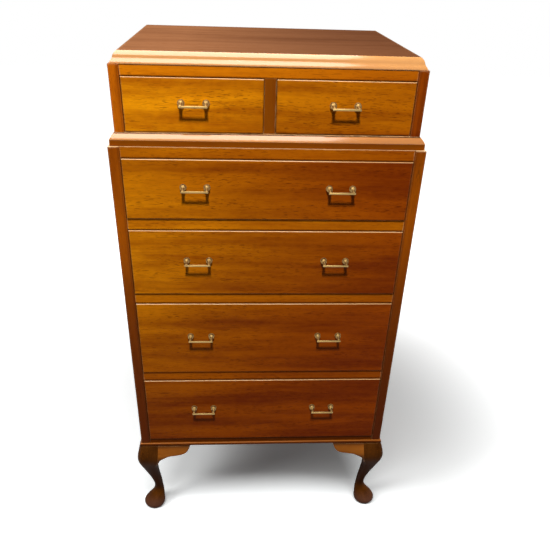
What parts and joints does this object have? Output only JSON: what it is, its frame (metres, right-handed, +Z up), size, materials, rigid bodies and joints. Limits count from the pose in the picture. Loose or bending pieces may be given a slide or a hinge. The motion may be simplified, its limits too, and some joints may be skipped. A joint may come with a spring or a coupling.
{
  "type": "highboy",
  "caption": "Tall chest on cabriole legs: short drawers side by side over a wider stack of long graduated drawers with brass bar pulls",
  "frame": {"origin": "on the floor, under the middle of the whole chest's bounding box", "axes": "+Z up; the drawers face and open towards -Y; +X is to the right of someone who faces the fronts"},
  "size_m": [0.849, 0.659, 1.5255],
  "materials": {
    "top_mahogany": "polished mahogany, faded on the top",
    "front_mahogany": "polished mahogany veneer, horizontal grain",
    "rail_mahogany": "polished mahogany, horizontal grain",
    "upright_mahogany": "polished mahogany, upright grain",
    "side_mahogany": "polished mahogany veneer, upright grain",
    "moulding_mahogany": "polished mahogany moulding, worn pale on the edges",
    "leg_mahogany": "dark polished mahogany",
    "carcass_timber": "unfinished secondary timber",
    "drawer_timber": "waxed pale timber",
    "drawer_ply": "unfinished plywood",
    "back_ply": "stained plywood",
    "pull_brass": "polished cast brass, slightly tarnished"
  },
  "bodies": {
    "carcase": {"top_board": "top_mahogany", "upper_side_left": "side_mahogany", "upper_side_right": "side_mahogany", "upper_stiles": "upright_mahogany", "upper_top_rail": "rail_mahogany", "centre_divider": "upright_mahogany", "upper_bottom_board": "carcass_timber", "upper_back_panel": "back_ply", "waist_moulding": "moulding_mahogany", "lower_side_left": "side_mahogany", "lower_side_right": "side_mahogany", "lower_stiles": "upright_mahogany", "lower_top_board": "carcass_timber", "drawer_rails": "rail_mahogany", "bottom_rail": "rail_mahogany", "drawer_runners": "carcass_timber", "drawer_stops": "carcass_timber", "lower_back_panel": "back_ply", "base_board": "moulding_mahogany", "leg_front_left": "leg_mahogany", "leg_front_right": "leg_mahogany", "leg_rear_left": "leg_mahogany", "leg_rear_right": "leg_mahogany", "knee_ears": "leg_mahogany"},
    "drawer_short_left": {"short_left_front": "front_mahogany", "short_left_side_left": "drawer_timber", "short_left_side_right": "drawer_timber", "short_left_back": "drawer_timber", "short_left_bottom": "drawer_ply", "short_left_pulls": "pull_brass"},
    "drawer_short_right": {"short_right_front": "front_mahogany", "short_right_side_left": "drawer_timber", "short_right_side_right": "drawer_timber", "short_right_back": "drawer_timber", "short_right_bottom": "drawer_ply", "short_right_pulls": "pull_brass"},
    "drawer_long_1": {"long_1_front": "front_mahogany", "long_1_side_left": "drawer_timber", "long_1_side_right": "drawer_timber", "long_1_back": "drawer_timber", "long_1_bottom": "drawer_ply", "long_1_pulls": "pull_brass"},
    "drawer_long_2": {"long_2_front": "front_mahogany", "long_2_side_left": "drawer_timber", "long_2_side_right": "drawer_timber", "long_2_back": "drawer_timber", "long_2_bottom": "drawer_ply", "long_2_pulls": "pull_brass"},
    "drawer_long_3": {"long_3_front": "front_mahogany", "long_3_side_left": "drawer_timber", "long_3_side_right": "drawer_timber", "long_3_back": "drawer_timber", "long_3_bottom": "drawer_ply", "long_3_pulls": "pull_brass"},
    "drawer_long_4": {"long_4_front": "front_mahogany", "long_4_side_left": "drawer_timber", "long_4_side_right": "drawer_timber", "long_4_back": "drawer_timber", "long_4_bottom": "drawer_ply", "long_4_pulls": "pull_brass"}
  },
  "joints": [
    {"name": "short_left_slide", "type": "slide", "parent": "carcase", "child": "drawer_short_left", "axis": [0, -1, 0], "range_m": [0, 0.4]},
    {"name": "short_right_slide", "type": "slide", "parent": "carcase", "child": "drawer_short_right", "axis": [0, -1, 0], "range_m": [0, 0.4]},
    {"name": "long_1_slide", "type": "slide", "parent": "carcase", "child": "drawer_long_1", "axis": [0, -1, 0], "range_m": [0, 0.4]},
    {"name": "long_2_slide", "type": "slide", "parent": "carcase", "child": "drawer_long_2", "axis": [0, -1, 0], "range_m": [0, 0.4]},
    {"name": "long_3_slide", "type": "slide", "parent": "carcase", "child": "drawer_long_3", "axis": [0, -1, 0], "range_m": [0, 0.4]},
    {"name": "long_4_slide", "type": "slide", "parent": "carcase", "child": "drawer_long_4", "axis": [0, -1, 0], "range_m": [0, 0.4]}
  ]
}
